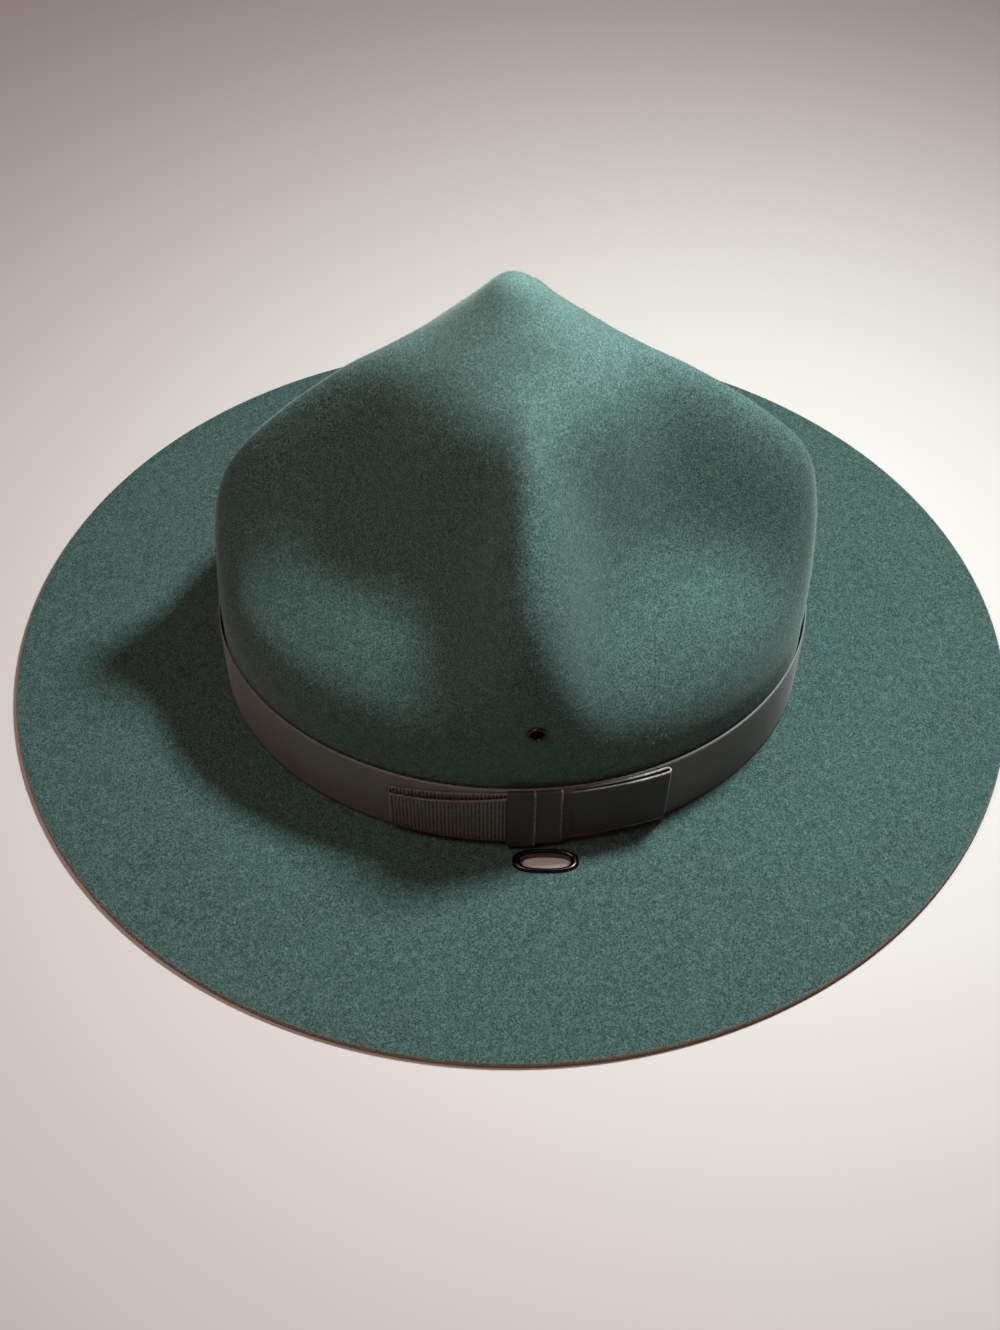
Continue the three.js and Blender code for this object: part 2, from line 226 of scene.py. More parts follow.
def grid_faces(rows, columns, closed_across=False, first=0):
    """Quads between neighbouring rows of points. With closed_across each row is a ring."""
    faces = []
    last = columns if closed_across else columns - 1
    for row in range(rows - 1):
        for column in range(last):
            beside = (column + 1) % columns
            here, below = first + row * columns, first + (row + 1) * columns
            faces.append((here + column, below + column, below + beside, here + beside))
    return faces


def bake(made):
    """Turns the object's modifiers into plain mesh and removes them."""
    graph = bpy.context.evaluated_depsgraph_get()
    baked = bpy.data.meshes.new_from_object(made.evaluated_get(graph))
    made.modifiers.clear()
    made.data = baked
    return made


def linear(colour):
    """A six-figure sRGB hex colour as linear red, green, blue and alpha."""
    parts = [int(colour[k : k + 2], 16) / 255 for k in (0, 2, 4)]
    return (*[p / 12.92 if p <= 0.04045 else ((p + 0.055) / 1.055) ** 2.4 for p in parts], 1)


def add_node(tree, kind, settings=None, links=None):
    """Adds one node. A setting is a property or an input, by name or number, and a link joins
    another node's output to an input."""
    node = tree.nodes.new(kind)
    for name, value in (settings or {}).items():
        if isinstance(name, str) and hasattr(node, name):
            setattr(node, name, value)
        else:
            node.inputs[name].default_value = value
    for name, output in (links or {}).items():
        tree.links.new(output, node.inputs[name])
    return node


def count_triangles(made):
    return sum(len(face.vertices) - 2 for face in made.data.polygons)


print("mid grey 808080 is", round(linear("808080")[0], 3), "to the shaders")

# %% [markdown]
# ## The felt
# Fur felt is a few millimetres thick, and its edge is cut square and rubbed round. The skin
# starts at the peak, goes down the crown's outside, over the brim and round its edge, and back
# along the underside and up the inside to the peak. That makes one closed shell with an open
# head hole, as the real body is. A hand-blocked surface is never exact, so the last step moves
# each point by a fraction of a millimetre with a slow noise, the outer and the inner skin alike.

# %% Rings from the peak to the peak
columns = 300
crown_rows = 132
inside_rows = 66
brim_rows = 30
edge_round = 0.8 * MM
lip_round = 1.8 * MM
ring_angles = np.arange(columns) / columns * 2 * np.pi
edge_breadth, edge_length = brim_half_breadth - edge_round, brim_half_length - edge_round


def oval(half_breadth, half_length, height):
    x, y = half_breadth * np.cos(ring_angles), half_length * np.sin(ring_angles)
    return np.stack([x, y, np.full(columns, height)], 1)


def rounded(half_breadth, half_length, centre_height, radius, start, end, steps=5):
    """Ovals round a circular edge whose middle line is the given oval."""
    rings = []
    for turn in np.radians(np.linspace(start, end, steps)):
        out = radius * math.cos(turn)
        height = centre_height + radius * math.sin(turn)
        rings.append(oval(half_breadth + out, half_length + out, height))
    return rings


def brim_rings(height, reverse=False):
    """Ovals from the crown's foot to just inside the brim's edge."""
    rings = []
    for share in np.linspace(0, 1, brim_rows + 1)[1:]:
        half_breadth = crown_half_breadth + (edge_breadth - crown_half_breadth) * share
        half_length = crown_half_length + (edge_length - crown_half_length) * share
        rings.append(oval(half_breadth, half_length, height))
    return rings[::-1] if reverse else rings


levels_down = np.linspace(1, 0, crown_rows + 1)[1:]
outside = list(crown_points(ring_angles, levels_down).transpose(1, 0, 2))
edge = rounded(edge_breadth, edge_length, brim_thickness - edge_round, edge_round, 72, 0)
edge += rounded(edge_breadth, edge_length, edge_round, edge_round, 0, -72)
hole_breadth, hole_length = crown_half_breadth - crown_wall, crown_half_length - crown_wall
lip = rounded(hole_breadth + lip_round, hole_length + lip_round, lip_round, lip_round, 270, 180)
levels_up = np.linspace(0, 1, inside_rows + 1)[1:-1]
levels_up = levels_up[levels_up > 0.02]
inner = crown_points(ring_angles, levels_up) - crown_wall * crown_normals(ring_angles, levels_up)
rings = outside + brim_rings(brim_thickness) + edge + brim_rings(0, reverse=True)[:-1] + lip
rings += list(inner.transpose(1, 0, 2))
print(len(rings), "rings of", columns, "points")


# %% Close the skin and add the hand-blocked unevenness
def unevenness(point):
    """How far a point of the felt is off its exact place: slow swells under finer ones."""
    swell = noise.noise(point * 14) * 0.5 * MM
    return swell + noise.noise(point * 55) * 0.16 * MM


def skin_from_peak_to_peak(name, rings):
    top = Vector((0, 0, peak_height))
    bottom = Vector((0, 0, peak_height - crown_wall))
    points = [top, *(point for ring in rings for point in ring), bottom]
    last = len(points) - 1
    foot = last - columns
    faces = [(0, 1 + k, 1 + (k + 1) % columns) for k in range(columns)]
    faces += grid_faces(len(rings), columns, closed_across=True, first=1)
    faces += [(foot + k, last, foot + (k + 1) % columns) for k in range(columns)]
    return mesh_object(name, points, faces)


def block_by_hand(made):
    """Moves a skin's points by the unevenness, more and more above the band."""
    centre, starts, grows_over = Vector((0, 0, 45 * MM)), 34 * MM, 25 * MM
    for vertex in made.data.vertices:
        flat = Vector((vertex.co.x, vertex.co.y, 0))
        above_band = min(max((vertex.co.z - starts) / grows_over, 0), 1)
        away = (vertex.co - centre).normalized()
        vertex.co += away * unevenness(centre + away * 0.1 + flat * 0.2) * above_band


felt = skin_from_peak_to_peak("felt_hat", rings)
block_by_hand(felt)
print(count_triangles(felt), "triangles before the holes are cut")

# %% [markdown]
# ## Holes in the felt
# The vents and the strap slots are punched through the felt before the metal goes in. A boolean
# does the same here: a round bar at each vent and an oblong bar at each slot are taken away. The
# oblong is a superellipse, which is an ellipse with squared shoulders, as the slots have.

# %% Places of the vents and slots
gap = 0.3 * MM
eyelet_rear = 7.6 * MM
eyelet_height = 61 * MM
eyelet_hole_radius = 2.1 * MM
eyelet_barrel_radius = 2.5 * MM
eyelet_flange_radius = 3.2 * MM
slot_rear = 11.5 * MM
slot_side = 92.7 * MM
slot_outer = (4.6 * MM, 11.3 * MM)
slot_hole = (2.85 * MM, 8.45 * MM)
slot_squareness = 2.7
sides = {"left": 1, "right": -1}
print(f"vents {1000 * eyelet_height:.0f} mm above the brim, slots {1000 * slot_side:.1f} mm out")


def angle_at(rear, side=1):
    """The angle from +X at which the crown's side has this distance to the rear."""
    left = np.arcsin(np.asarray(rear) / crown_half_length)
    return left if side > 0 else np.pi - left


def eyelet_frame(side):
    """The matrix that turns +Z straight out of the felt at the vent on one side."""
    angle = np.array([float(angle_at(eyelet_rear, side))])
    place = Vector(on_crown(angle, [eyelet_height], [0])[0])
    out = Vector(on_crown(angle, [eyelet_height], [1])[0]) - place
    return Matrix.Translation(place) @ out.to_track_quat("Z", "Y").to_matrix().to_4x4()


def slot_oval(half_sizes, side, turns):
    """Points of an oblong with squared shoulders at these turns, in radians."""
    power = 2 / slot_squareness
    across = np.sign(np.cos(turns)) * np.abs(np.cos(turns)) ** power
    along = np.sign(np.sin(turns)) * np.abs(np.sin(turns)) ** power
    return np.stack([side * slot_side + half_sizes[0] * across, slot_rear + half_sizes[1] * along], 1)


# %% Cut them
def prism(rings):
    """Points and faces of a closed bar through two rings."""
    count = len(rings[0])
    faces = [tuple(range(count))[::-1], tuple(range(count, 2 * count))]
    faces += [(k, (k + 1) % count, count + (k + 1) % count, count + k) for k in range(count)]
    return [Vector(point) for ring in rings for point in ring], faces


def punch_bars():
    """All four bars in one object."""
    points, faces = [], []
    turns = np.arange(64) / 64 * 2 * np.pi
    for side in sides.values():
        radius = eyelet_barrel_radius + gap
        circle = [(radius * math.cos(turn), radius * math.sin(turn)) for turn in turns]
        bar = [[eyelet_frame(side) @ Vector((x, y, z)) for x, y in circle] for z in (-8 * MM, 8 * MM)]
        barrel = (slot_hole[0] + 0.8 * MM, slot_hole[1] + 0.8 * MM)
        oblong = slot_oval(barrel, side, turns)
        slot = [[(x, y, z) for x, y in oblong] for z in (-5 * MM, 8 * MM)]
        for rings_of_bar in (bar, slot):
            made_points, made_faces = prism(rings_of_bar)
            faces += [tuple(len(points) + k for k in face) for face in made_faces]
            points += made_points
    return mesh_object("punch_bars", points, faces, smooth=False)


bars = punch_bars()
cut = felt.modifiers.new("punch", "BOOLEAN")
cut.operation = "DIFFERENCE"
cut.solver = "EXACT"
cut.object = bars
bake(felt)
bpy.data.objects.remove(bars)
print(count_triangles(felt), "triangles with the holes cut")

# %% [markdown]
# ## Felt as a material
# The real finish is rabbit-fur felt, dyed green, sanded and steamed. It is matt, and short
# fibres stand off it, so that it looks a little lighter wherever the eye skims it. A principled
# shader gives that with full roughness, hardly any mirror-like shine and a sheen. The colour
# is broken up three times: by soft blotches about 25 mm wide, where the nap lies differently, by
# a mottle of 3 mm, and by a strong fleck, where single fibres took more or less dye. Real fibres
# are 0.02 mm wide, too fine to show, so the fleck is drawn at 0.6 mm. Over the peak's last 40 mm
# the colour is painted paler, painted light for the stronger light up there. The cut edge of the
# brim isn't sanded or brushed, and is painted a warm brown: the felt's brown core and a painted
# reflection of warm light from the floor. The mesh marks the edge with an attribute that the
# material reads.


# %% Mark the brim's cut edge
def mark_edge(made, attribute):
    """1 on the upright edge of the brim and 0 from half a millimetre inside it."""
    places = np.empty(3 * len(made.data.vertices))
    made.data.vertices.foreach_get("co", places)
    x, y, _ = places.reshape(-1, 3).T
    inside = (1 - np.hypot(x / brim_half_breadth, y / brim_half_length)) * brim_half_breadth
    share = np.clip(1 - (inside - 0.15 * MM) / (0.5 * MM), 0, 1)
    made.data.attributes.new(attribute, "FLOAT", "POINT").data.foreach_set("value", share.astype(np.float32))
    return share


edge_share = mark_edge(felt, "cut_edge")
print(int((edge_share > 0.5).sum()), "points on the cut edge")


# %% Felt
def new_material(name):
    material = bpy.data.materials.new(name)
    material.use_nodes = True
    tree = material.node_tree
    tree.nodes.clear()
    return material, tree


NOISE, RANGE, MIX, MATH = "ShaderNodeTexNoise", "ShaderNodeMapRange", "ShaderNodeMix", "ShaderNodeMath"


def fur_felt():
    """Green fur felt."""
    material, tree = new_material("fur_felt")
    place = add_node(tree, "ShaderNodeTexCoord").outputs["Object"]
    shares = []
    # The soft blotches of the nap, the mottle of the dye and the fleck of single fibres: the
    # eye reads them as a dull, slightly furry cloth. (width in mm, detail, roughness, low, high)
    noises = ((25, 3, 0.6, 0.3, 0.7), (3, 3, 0.7, 0.3, 0.7), (0.6, 2, 0.8, 0.36, 0.66))
    for width, detail, rough, low, high in noises:
        look = {"Scale": 1 / (width * MM), "Detail": detail, "Roughness": rough}
        patches = add_node(tree, NOISE, look, {"Vector": place})
        shares.append(add_node(tree, RANGE, {1: low, 2: high}, {0: patches.outputs["Fac"]}).outputs[0])
    blotch, mottle, fleck = shares
    rgb = {"data_type": "RGBA"}
    deep = add_node(tree, MIX, {**rgb, 6: linear("213430"), 7: linear("273E3A")}, {0: blotch}).outputs[2]
    pale = add_node(tree, MIX, {**rgb, 6: linear("445E5A"), 7: linear("5D7A75")}, {0: mottle}).outputs[2]
    marl = add_node(tree, MIX, rgb, {0: fleck, 6: deep, 7: pale}).outputs[2]
    # Paler towards the peak: painted light, for the stronger light up there
    height = add_node(tree, "ShaderNodeSeparateXYZ", {}, {0: place}).outputs["Z"]
    painted_peak_light = add_node(tree, RANGE, {1: 135 * MM, 2: 172 * MM, 4: 0.28}, {0: height}).outputs[0]
    marl = add_node(tree, MIX, {**rgb, 7: linear("6C8D87")}, {0: painted_peak_light, 6: marl}).outputs[2]
    # A thin warm line round the brim: the felt's brown core and a painted reflection of warm light from the
    # floor
    cut_edge = add_node(tree, "ShaderNodeAttribute", {"attribute_name": "cut_edge"}).outputs["Fac"]
    edge_core_and_bounce = add_node(tree, MIX, {**rgb, 6: linear("4F483E"), 7: linear("908675")}, {0: fleck}).outputs[2]
    colour = add_node(tree, MIX, rgb, {0: cut_edge, 6: marl, 7: edge_core_and_bounce}).outputs[2]
    nap = add_node(tree, NOISE, {"Scale": 1 / (1.1 * MM), "Detail": 4, "Roughness": 0.75}, {"Vector": place})
    relief = {"Strength": 0.45, "Distance": 0.25 * MM}
    bump = add_node(tree, "ShaderNodeBump", relief, {"Height": nap.outputs["Fac"]})
    look = {"Roughness": 0.95, "IOR": 1.45, "Specular IOR Level": 0.2}
    sheen = {"Sheen Weight": 0.3, "Sheen Roughness": 0.45, "Sheen Tint": linear("B9CCC4")}
    shader = add_node(tree, "ShaderNodeBsdfPrincipled", {**look, **sheen},
                      {"Base Color": colour, "Normal": bump.outputs["Normal"]})
    add_node(tree, "ShaderNodeOutputMaterial", {}, {"Surface": shader.outputs["BSDF"]})
    return material


# %% Loose fur
def loose_fur():
    """Single fibres that stand off the felt. Their colour, paler than its mass, is painted sheen, which
    softens its outline.
    """
    material, tree = new_material("loose_fur")
    shader = add_node(tree, "ShaderNodeBsdfPrincipled",
                      {"Base Color": linear("587A71"), "Roughness": 0.8, "Specular IOR Level": 0.3})
    add_node(tree, "ShaderNodeOutputMaterial", {}, {"Surface": shader.outputs["BSDF"]})
    return material


felt_finish = fur_felt()
fur_finish = loose_fur()
felt.data.materials.clear()
felt.data.materials.append(felt_finish)
print("felt nodes:", len(felt_finish.node_tree.nodes))

# %% [markdown]
# ## Loose fibres
# Felt has no weave: its surface is a mat of short hairs, and a few stand off it and catch the
# light along the outline. Tens of thousands of hairs are a job for geometry nodes. Points are
# scattered over the felt's outside with a fixed seed, each takes a three-sided spike that leans
# almost flat, and the spikes are realized into one mesh. They are drawn thicker than real fur
# so that they show. They grow on a copy of the outside alone, without the strip under the band
# and the patches under the metal rims, and the copy isn't kept.


# %% A tree of geometry nodes, and how it is used
def group_tree(name, sockets):
    """A geometry node tree with a geometry input and output and these named inputs."""
    tree = bpy.data.node_groups.new(name, "GeometryNodeTree")
    tree.interface.new_socket("Geometry", in_out="INPUT", socket_type="NodeSocketGeometry")
    for socket, kind in sockets.items():
        tree.interface.new_socket(socket, in_out="INPUT", socket_type="NodeSocket" + kind)
    tree.interface.new_socket("Geometry", in_out="OUTPUT", socket_type="NodeSocketGeometry")
    return tree


def finish_tree(tree, geometry, finish):
    """Every tree ends alike: real geometry with its material set."""
    real = add_node(tree, "GeometryNodeRealizeInstances", {}, {"Geometry": geometry})
    links = {"Geometry": real.outputs[0], "Material": finish}
    finished = add_node(tree, "GeometryNodeSetMaterial", {}, links)
    add_node(tree, "NodeGroupOutput", {}, {"Geometry": finished.outputs[0]})
    return tree


def use_tree(made, tree, values):
    """Adds the tree as a modifier and sets its inputs by their identifiers."""
    modifier = made.modifiers.new(tree.name, "NODES")
    modifier.node_group = tree
    for item in tree.interface.items_tree:
        if item.in_out == "INPUT" and item.name in values:
            modifier[item.identifier] = values[item.name]


print("geometry node groups so far:", len(bpy.data.node_groups))


# %% Scatter fibres with geometry nodes
def fibre_tree():
    tree = group_tree("loose fibres", {"Fibres per square metre": "Float", "Fibre length": "Float",
                                       "Fibre radius": "Float", "Seed": "Int", "Finish": "Material"})
    given = add_node(tree, "NodeGroupInput").outputs
    spread = {"Mesh": given["Geometry"], "Density": given["Fibres per square metre"], "Seed": given["Seed"]}
    points = add_node(tree, "GeometryNodeDistributePointsOnFaces", {}, spread).outputs
    spike = add_node(tree, "GeometryNodeMeshCone", {"Vertices": 3, "Side Segments": 1, "Fill Segments": 1},
                     {"Radius Bottom": given["Fibre radius"], "Depth": given["Fibre length"]})
    least, most = (math.radians(55), 0, 0), (math.radians(86), 0, 2 * math.pi)
    lean = add_node(tree, "FunctionNodeRandomValue", {"data_type": "FLOAT_VECTOR", 0: least, 1: most},
                    {"Seed": given["Seed"]})
    leaning = add_node(tree, "FunctionNodeEulerToRotation", {}, {"Euler": lean.outputs[0]})
    turned = add_node(tree, "FunctionNodeRotateRotation", {"rotation_space": "LOCAL"},
                      {"Rotation": points["Rotation"], "Rotate By": leaning.outputs[0]})
    size = add_node(tree, "FunctionNodeRandomValue", {"data_type": "FLOAT", 2: 0.5, 3: 1.3},
                    {"Seed": given["Seed"]})
    placed = add_node(tree, "GeometryNodeInstanceOnPoints", {},
                      {"Points": points["Points"], "Instance": spike.outputs["Mesh"],
                       "Rotation": turned.outputs[0], "Scale": size.outputs[1]})
    return finish_tree(tree, placed.outputs[0], given["Finish"])


fur = fibre_tree()
print("fibre tree:", len(fur.nodes), "nodes")

# %% Where they grow
eyelet_bare = 4.2 * MM
slot_bare = (6 * MM, 12.8 * MM)
bare_discs = [eyelet_frame(side).translation for side in sides.values()]


def is_bare(place):
    """True under the rims of the eyelets and grommets."""
    if min((place - middle).length for middle in bare_discs) < eyelet_bare:
        return True
    across = (abs(place.x) - slot_side) / slot_bare[0]
    along = (place.y - slot_rear) / slot_bare[1]
    return place.z < 10 * MM and across**2 + along**2 < 1


def grow_fur(name, ground_rings, density, seed):
    """Fibres on the outside of the skin through these rings."""
    points = [Vector(point) for ring in ground_rings for point in ring]
    faces = grid_faces(len(ground_rings), columns, closed_across=True)
    faces = [face for face in faces if not is_bare(sum((points[k] for k in face), Vector()) / 4)]
    made = mesh_object(name, points, faces)
    block_by_hand(made)
    use_tree(made, fur, {"Fibres per square metre": density, "Fibre length": 1.2 * MM,
                         "Fibre radius": 0.035 * MM, "Seed": seed, "Finish": fur_finish})
    bake(made)
    print(f"{name}: {count_triangles(made)} triangles")
    return made


above_band = [ring for ring in outside if ring[:, 2].min() > brim_thickness + 33 * MM]
beside_band = brim_rings(brim_thickness)[1:] + edge[:4]
crown_fibres = grow_fur("felt_fibres_crown", above_band, 620000.0, 7)
brim_fibres = grow_fur("felt_fibres_brim", beside_band, 640000.0, 11)

# %% [markdown]
# ## Grosgrain ribbon
# The band and the bow are grosgrain: a black ribbon with ribs across it and a smooth firm
# selvedge along both edges. The ribs could be a bump in the material, but they are coarse enough
# to see in the light, so geometry nodes raise them. Each ribbon starts as a plain strip that
# knows how far along and how near its edge each point is. The tree lifts the strip in waves
# along its length and leaves the selvedge smooth. Then the strip gets its thickness.


# %% Ribs and selvedge with geometry nodes
def rib_tree():
    tree = group_tree("grosgrain ribs", {"Rib spacing": "Float", "Rib height": "Float",
                                         "Selvedge": "Float", "Finish": "Material"})
    given = add_node(tree, "NodeGroupInput").outputs

    stored = {}
    for name in ("along", "from_edge"):
        wanted = {"data_type": "FLOAT", "Name": name}
        stored[name] = add_node(tree, "GeometryNodeInputNamedAttribute", wanted).outputs[0]
    ribs_along = add_node(tree, MATH, {"operation": "DIVIDE"},
                          {0: stored["along"], 1: given["Rib spacing"]})
    turns = add_node(tree, MATH, {"operation": "MULTIPLY", 1: 2 * math.pi}, {0: ribs_along.outputs[0]})
    wave = add_node(tree, MATH, {"operation": "SINE"}, {0: turns.outputs[0]})
    off_selvedge = add_node(tree, MATH, {"operation": "GREATER_THAN"},
                            {0: stored["from_edge"], 1: given["Selvedge"]})
    kept = add_node(tree, MATH, {"operation": "MULTIPLY"}, {0: wave.outputs[0], 1: off_selvedge.outputs[0]})
    height = add_node(tree, MATH, {"operation": "MULTIPLY"},
                      {0: kept.outputs[0], 1: given["Rib height"]}).outputs[0]
    normal = add_node(tree, "GeometryNodeInputNormal").outputs[0]
    offset = add_node(tree, "ShaderNodeVectorMath", {"operation": "SCALE"}, {0: normal, "Scale": height})
    links = {"Geometry": given["Geometry"], "Offset": offset.outputs[0]}
    raised = add_node(tree, "GeometryNodeSetPosition", {}, links)
    return finish_tree(tree, raised.outputs[0], given["Finish"])


ribs = rib_tree()
rib_spacing = 1.3 * MM
selvedge = 1.1 * MM
ribbon_thickness = 0.5 * MM
print("rib tree:", len(ribs.nodes), "nodes")


# %% Strips of ribbon
def ribbon_strip(name, grid, finish, rib_height, thickness=ribbon_thickness, closed=False, creases=None):
    """A ribbon from a grid of points: rows go along it, columns from its lower to its upper edge.
    creases are columns where it is folded, which take the place of its selvedges: smooth, with their painted
    highlight."""
    rows, across, _ = grid.shape
    faces = grid_faces(rows, across)
    if closed:
        last = (rows - 1) * across
        faces += [(last + k, k, k + 1, last + k + 1) for k in range(across - 1)]
    made = mesh_object(name, grid.reshape(-1, 3), faces)
    steps = np.linalg.norm(np.diff(grid[:, across // 2], axis=0), axis=1)
    along = np.repeat(np.concatenate([[0], np.cumsum(steps)]), across)
    widths = np.linalg.norm(np.diff(grid, axis=1), axis=2)
    upward = np.concatenate([np.zeros((rows, 1)), np.cumsum(widths, axis=1)], 1)
    pressed = creases or [0, across - 1]
    from_edge = np.min([np.abs(upward - upward[:, k : k + 1]) for k in pressed], axis=0).ravel()
    from_fold = np.abs(along - along[-1] / 2)
    for attribute, values in (("along", along), ("from_edge", from_edge), ("from_fold", from_fold)):
        store = made.data.attributes.new(attribute, "FLOAT", "POINT")
        store.data.foreach_set("value", values.astype(np.float32))
    use_tree(made, ribs, {"Rib spacing": rib_spacing, "Rib height": rib_height,
                          "Selvedge": selvedge, "Finish": finish})
    wall = made.modifiers.new("thickness", "SOLIDIFY")
    wall.thickness = thickness
    wall.offset = 0
    wall.use_even_offset = False
    bake(made)
    print(f"{name}: {1000 * steps.sum():.0f} mm long, {count_triangles(made)} triangles")
    return made


# %% [markdown]
# ## Ribbon as a material
# The real stuff is black rayon or cotton grosgrain. Its warp threads lie flat and close, so it
# shines a little more than the felt. The pale lines on the selvedges and folds are a painted
# highlight, and the rib crests are painted lighter than the gaps, which get painted shade.
# The pattern follows the ribbon through stored distances: along it, from its edge and from its
# fold. So the stripes lie on the ribs, whichever way the ribbon turns. The ribs are 1.3 mm
# apart. The threads are finer than the render can show, so they are drawn 0.45 mm wide. The
# band's grey is painted light: it was matched to the black ribbon in the photo's shade, so in
# direct light it is paler than a black ribbon would be.


# %% Grosgrain
def grosgrain(name, lit_crest_colour, shaded_gap_colour, selvedge_highlight_colour, edge_width=selvedge, highlight_reach=1.0):
    """Black grosgrain. highlight_reach is how far from its fold the selvedge gets its painted highlight."""
    material, tree = new_material(name)
    rgb = {"data_type": "RGBA"}
    place = add_node(tree, "ShaderNodeTexCoord").outputs["Object"]
    stored = {}
    for part in ("along", "from_edge", "from_fold"):
        stored[part] = add_node(tree, "ShaderNodeAttribute", {"attribute_name": part}).outputs["Fac"]
    # Rib crests painted lighter than the gaps, which get painted shade, broken up by random patches: lively
    # dark stripes
    turns = add_node(tree, MATH, {"operation": "MULTIPLY", 1: 2 * math.pi / rib_spacing},
                     {0: stored["along"]})
    crest = add_node(tree, MATH, {"operation": "SINE"}, {0: turns.outputs[0]})
    patch_noise = add_node(tree, NOISE, {"Scale": 1 / (1.4 * MM), "Detail": 3, "Roughness": 0.7},
                      {"Vector": place}).outputs["Fac"]
    uneven = add_node(tree, MATH, {"operation": "MULTIPLY_ADD", 1: 3.0}, {0: patch_noise, 2: crest.outputs[0]})
    share = add_node(tree, RANGE, {1: 0.4, 2: 2.6}, {0: uneven.outputs[0]})
    body = add_node(tree, MIX, {**rgb, 6: linear(shaded_gap_colour), 7: linear(lit_crest_colour)},
                    {0: share.outputs[0]})
    # A painted highlight on the selvedges and creases: thin light lines that draw the ribbon's outline
    near_edge = add_node(tree, RANGE, {1: 0.35 * edge_width, 2: edge_width, 3: 1.0, 4: 0.0},
                         {0: stored["from_edge"]})
    near_fold = add_node(tree, RANGE, {1: 0.6 * highlight_reach, 2: highlight_reach, 3: 1.0, 4: 0.15},
                         {0: stored["from_fold"]})
    patchy = add_node(tree, RANGE, {1: 0.25, 2: 0.6}, {0: patch_noise})
    wear_and_highlight = add_node(tree, MATH, {"operation": "MULTIPLY"}, {0: near_edge.outputs[0], 1: patchy.outputs[0]})
    wear_and_highlight = add_node(tree, MATH, {"operation": "MULTIPLY"}, {0: wear_and_highlight.outputs[0], 1: near_fold.outputs[0]})
    colour = add_node(tree, MIX, {**rgb, 7: linear(selvedge_highlight_colour)}, {0: wear_and_highlight.outputs[0], 6: body.outputs[2]})
    thread = add_node(tree, NOISE, {"Scale": 1 / (0.45 * MM), "Detail": 2}, {"Vector": place})
    relief = {"Strength": 0.4, "Distance": 0.12 * MM}
    bump = add_node(tree, "ShaderNodeBump", relief, {"Height": thread.outputs["Fac"]})
    look = {"Roughness": 0.6, "Specular IOR Level": 0.4, "Sheen Weight": 0.15, "Sheen Roughness": 0.4}
    shader = add_node(tree, "ShaderNodeBsdfPrincipled", look,
                      {"Base Color": colour.outputs[2], "Normal": bump.outputs["Normal"]})
    add_node(tree, "ShaderNodeOutputMaterial", {}, {"Surface": shader.outputs["BSDF"]})
    return material


# Painted light in these colours: the pale greys of the band and the front loop are far paler than black
# ribbon, the front loop's near-black gaps are painted shade between its ribs, and every edge colour is a
# painted highlight.
band_finish = grosgrain("black_grosgrain", "676F6C", "5F6664", "747976")
loop_finish = grosgrain("black_grosgrain_with_painted_rib_shade", "6C716E", "111212", "696E6B")
rear_loop_finish = grosgrain("smooth_black_grosgrain", "343737", "303232", "A6A5A0", 0.7 * MM, 17 * MM)
knot_finish = grosgrain("blue_black_grosgrain", "313338", "292A2E", "8C8C84", 0.9 * MM)
print("grosgrain nodes:", len(band_finish.node_tree.nodes))

# %% [markdown]
# ## The band
# One length of ribbon goes round the foot of the crown. It touches the felt almost everywhere,
# and its upper edge stands off just enough for a thin dark line. A sweep along an oval would
# ignore that the crown leans in, so the strip's points are taken from the crown's own surface,
# at equal steps in height, and moved out by the gap.

# %% Band
band_foot = 0.4 * MM
band_top = 32 * MM
band_stand = gap + ribbon_thickness
band_columns = 2120
band_rows = 11


def ribbon_on_crown(angles, bottoms, tops, stands_low, stands_high, across=band_rows):
    """A grid of points on the crown: one row for each angle, across points up its width."""
    grid = np.empty((len(angles), across, 3))
    edge_rows = (0, 0.04, 0.08)
    inner_rows = tuple(np.linspace(0.12, 0.88, across - 6))
    shares = np.array([*edge_rows, *inner_rows, 0.92, 0.96, 1])
    for k, share in enumerate(shares):
        heights = bottoms + (tops - bottoms) * share
        stands = stands_low + (stands_high - stands_low) * share
        grid[:, k] = on_crown(angles, heights, stands)
    return grid


band_angles = np.arange(band_columns) / band_columns * 2 * np.pi
even = np.ones(band_columns)
band_stand_top = band_stand + 0.25 * MM
band_grid = ribbon_on_crown(band_angles, band_foot * even, band_top * even,
                            band_stand * even, band_stand_top * even)
band = ribbon_strip("ribbon_band", band_grid, band_finish, 0.025 * MM, closed=True)

# %% [markdown]
# ## The bow
# The flat bow is two loops of the same ribbon and a knot. Each loop is folded back on itself,
# so both layers and the round fold at its end show, and the rear loop has sprung open a little
# at its top corner. Tables give the way that each layer takes, and the fold between the layers
# is an arc.

# %% Tables of the loops
loop_gap = 0.3 * MM
band_face = band_stand + ribbon_thickness / 2 + loop_gap
# Each row is (rear, bottom, top, stand below, stand above) in millimetres
front_loop_back = [
    (9, 3.2, 31.2, 0.3, 0.3),
    (-12, 3.6, 29.8, 0.3, 0.3),
    (-28, 4.2, 27.6, 0.3, 0.3),
    (-40, 4.9, 25.4, 0.4, 0.4),
]
front_loop_face = [
    (-40, 4.8, 22.4, 1.2, 1.3),
    (-28, 4.2, 24.4, 1.2, 1.5),
    (-12, 3.6, 27.2, 1.1, 1.4),
    (9, 3.2, 30.6, 1.0, 1.1),
]
rear_loop_back = [
    (9, 4.2, 31, 0.3, 0.3),
    (22, 4.4, 31.6, 0.3, 0.4),
    (36, 4.4, 32.2, 0.5, 0.9),
    (50, 3.2, 32.2, 0.9, 1.3),
]
rear_loop_face = [
    (50, 2.9, 32.6, 2.0, 3.4),
    (36, 4.2, 32.4, 1.6, 2.6),
    (22, 4.3, 31.7, 1.2, 1.7),
    (9, 4.2, 31, 1.0, 1.1),
]


